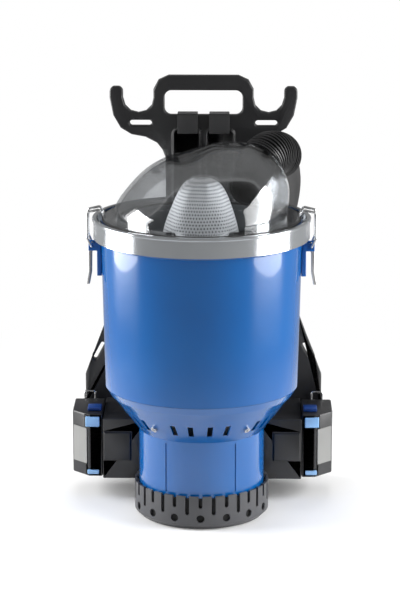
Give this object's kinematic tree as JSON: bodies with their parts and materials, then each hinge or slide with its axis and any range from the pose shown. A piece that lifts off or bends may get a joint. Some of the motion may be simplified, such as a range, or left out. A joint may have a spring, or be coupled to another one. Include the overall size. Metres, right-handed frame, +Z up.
{
  "type": "backpack vacuum cleaner",
  "caption": "Cordless backpack vacuum cleaner: blue bucket, clear domed lid, cone filter, vented motor housing, exhaust guard, side batteries and a black carrying frame with grip and hooks.",
  "frame": {"origin": "centre of the flat foot of the exhaust guard, on the floor", "axes": "+Z up, +X to the right seen from the front, +Y towards the wearer's back"},
  "size_m": [0.336, 0.6483, 0.5365],
  "materials": {
    "blue_shell": "gloss",
    "latch_blue": "gloss",
    "guard_grey": "satin",
    "foam_black": "matt",
    "band_grey": "gloss",
    "seal_rubber": "matt",
    "dome_clear": "clear",
    "pipe_black": "gloss",
    "hose_black": "satin",
    "mesh_grey": "matt",
    "bag_cloth": "matt",
    "ring_black": "matt",
    "steel_wire": "bright",
    "lever_steel": "brushed",
    "frame_black": "satin",
    "battery_black": "satin",
    "label_grey": "matt",
    "button_blue": "satin",
    "strip_navy": "satin",
    "switch_red": "satin",
    "board_green": "satin",
    "motor_metal": "satin",
    "fan_plastic": "matt",
    "strap_cloth": "woven"
  },
  "bodies": {
    "carrier": {"back_pad": "strap_cloth", "battery_housing": "battery_black", "body_brackets": "frame_black", "bucket": "blue_shell", "carrying_frame": "frame_black", "cone_filter": "mesh_grey", "control_board": "board_green", "exhaust_foam": "foam_black", "exhaust_guard": "guard_grey", "fan_case": "fan_plastic", "filter_bag": "bag_cloth", "filter_ring": "ring_black", "frame_screws": "steel_wire", "hip_pad_left": "strap_cloth", "hip_pad_right": "strap_cloth", "hose": "hose_black", "hose_end_cuff": "pipe_black", "housing_screws": "steel_wire", "latch_base_left": "latch_blue", "latch_base_right": "latch_blue", "lid_seal": "seal_rubber", "motor_can": "motor_metal", "motor_cushion": "seal_rubber", "motor_housing": "blue_shell", "rim_band": "band_grey", "shoulder_strap_left": "strap_cloth", "shoulder_strap_right": "strap_cloth", "strap_webbing": "strap_cloth"},
    "lid": {"dome_lid": "dome_clear", "inlet_pipe": "pipe_black", "hose_elbow": "hose_black", "swivel_cuff": "pipe_black"},
    "fan": {"fan_wheel": "fan_plastic"},
    "rocker": {"power_switch": "switch_red"},
    "bail_left": {"latch_bail_left": "steel_wire"},
    "lever_left": {"latch_lever_left": "lever_steel"},
    "battery_left": {"battery_pack_left": "battery_black", "battery_label_left": "label_grey", "top_strip_left": "strip_navy"},
    "upper_button_body_left": {"upper_button_left": "button_blue"},
    "lower_button_body_left": {"lower_button_left": "button_blue"},
    "loop_left": {"belt_loop_left": "steel_wire"},
    "bail_right": {"latch_bail_right": "steel_wire"},
    "lever_right": {"latch_lever_right": "lever_steel"},
    "battery_right": {"battery_pack_right": "battery_black", "battery_label_right": "label_grey", "top_strip_right": "strip_navy"},
    "upper_button_body_right": {"upper_button_right": "button_blue"},
    "lower_button_body_right": {"lower_button_right": "button_blue"},
    "loop_right": {"belt_loop_right": "steel_wire"}
  },
  "joints": [
    {"name": "lid_lift", "type": "slide", "parent": "carrier", "child": "lid", "axis": [0, 0, 1], "range_m": [0, 0.06]},
    {"name": "fan_spin", "type": "hinge", "parent": "carrier", "child": "fan", "pos_m": [0, 0, 0.06], "axis": [0, 0, 1], "continuous": true},
    {"name": "switch_rock", "type": "hinge", "parent": "carrier", "child": "rocker", "pos_m": [-0.1, 0.106, 0.1045], "axis": [1, 0, 0], "range_deg": [-8, 8]},
    {"name": "bail_swing_left", "type": "hinge", "parent": "carrier", "child": "bail_left", "pos_m": [-0.1365, 0, 0.344], "axis": [0, -1, 0], "range_deg": [0, 85]},
    {"name": "lever_swing_left", "type": "hinge", "parent": "carrier", "child": "lever_left", "pos_m": [-0.1365, 0, 0.344], "axis": [0, 1, 0], "range_deg": [0, 70]},
    {"name": "battery_slide_left", "type": "slide", "parent": "carrier", "child": "battery_left", "axis": [-1, 0, 0], "range_m": [0, 0.08]},
    {"name": "upper_press_left", "type": "slide", "parent": "battery_left", "child": "upper_button_body_left", "axis": [0, 1, 0], "range_m": [0, 0.003], "stiffness_N_per_m": 500},
    {"name": "lower_press_left", "type": "slide", "parent": "battery_left", "child": "lower_button_body_left", "axis": [0, 1, 0], "range_m": [0, 0.003], "stiffness_N_per_m": 500},
    {"name": "loop_fold_left", "type": "hinge", "parent": "carrier", "child": "loop_left", "pos_m": [-0.15, 0.1385, 0.1], "axis": [1, 0, 0], "range_deg": [0, 80]},
    {"name": "bail_swing_right", "type": "hinge", "parent": "carrier", "child": "bail_right", "pos_m": [0.1365, 0, 0.344], "axis": [0, 1, 0], "range_deg": [0, 85]},
    {"name": "lever_swing_right", "type": "hinge", "parent": "carrier", "child": "lever_right", "pos_m": [0.1365, 0, 0.344], "axis": [0, -1, 0], "range_deg": [0, 70]},
    {"name": "battery_slide_right", "type": "slide", "parent": "carrier", "child": "battery_right", "axis": [1, 0, 0], "range_m": [0, 0.08]},
    {"name": "upper_press_right", "type": "slide", "parent": "battery_right", "child": "upper_button_body_right", "axis": [0, 1, 0], "range_m": [0, 0.003], "stiffness_N_per_m": 500},
    {"name": "lower_press_right", "type": "slide", "parent": "battery_right", "child": "lower_button_body_right", "axis": [0, 1, 0], "range_m": [0, 0.003], "stiffness_N_per_m": 500},
    {"name": "loop_fold_right", "type": "hinge", "parent": "carrier", "child": "loop_right", "pos_m": [0.15, 0.1385, 0.1], "axis": [1, 0, 0], "range_deg": [0, 80]}
  ],
  "couplings": [
    {"joint": "bail_swing_left", "follows": "lid_lift", "rad_per_m": 24.726},
    {"joint": "lever_swing_left", "follows": "lid_lift", "rad_per_m": 20.362},
    {"joint": "bail_swing_right", "follows": "lid_lift", "rad_per_m": 24.726},
    {"joint": "lever_swing_right", "follows": "lid_lift", "rad_per_m": 20.362}
  ]
}
